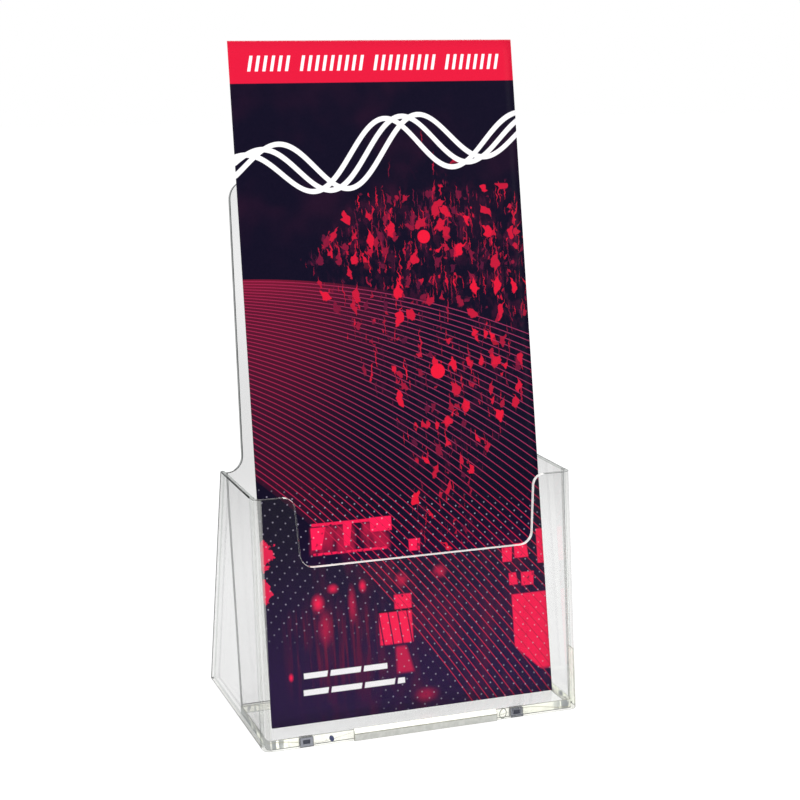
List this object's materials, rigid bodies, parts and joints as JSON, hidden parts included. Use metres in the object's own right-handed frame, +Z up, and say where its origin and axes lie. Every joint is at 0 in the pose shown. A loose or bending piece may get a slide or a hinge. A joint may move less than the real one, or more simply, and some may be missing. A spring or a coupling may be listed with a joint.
{
  "type": "brochure rack",
  "caption": "Clear single-pocket counter-top leaflet rack with a leaning back panel, notched front and splayed side panels, holding a tri-fold leaflet.",
  "frame": {"origin": "on the surface the rack stands on, under the middle of the whole object's box", "axes": "+Z up, -Y towards the reader in front of the rack, +X to that reader's right"},
  "size_m": [0.1128, 0.0756, 0.2281],
  "materials": {
    "clear_sheet": "polished, clear",
    "clear_base": "polished, clear with a faint warm tint",
    "insert": "moulded, satin",
    "printed_paper": "coated, printed",
    "plain_paper": "coated, light"
  },
  "bodies": {
    "rack": {"back_panel": "clear_sheet", "left_side_panel": "clear_sheet", "right_side_panel": "clear_sheet", "front_panel": "clear_sheet", "floor_plate": "clear_base", "front_lip": "clear_base", "left_insert": "insert", "right_insert": "insert", "side_rail": "clear_base"},
    "leaflet": {"leaflet_cover": "printed_paper", "leaflet_back_leaf": "printed_paper", "leaflet_inner_flap": "plain_paper"}
  },
  "joints": [
    {"name": "leaflet_lift", "type": "slide", "parent": "rack", "child": "leaflet", "axis": [0, 0.1771, 0.9842], "range_m": [0, 0.19]}
  ]
}
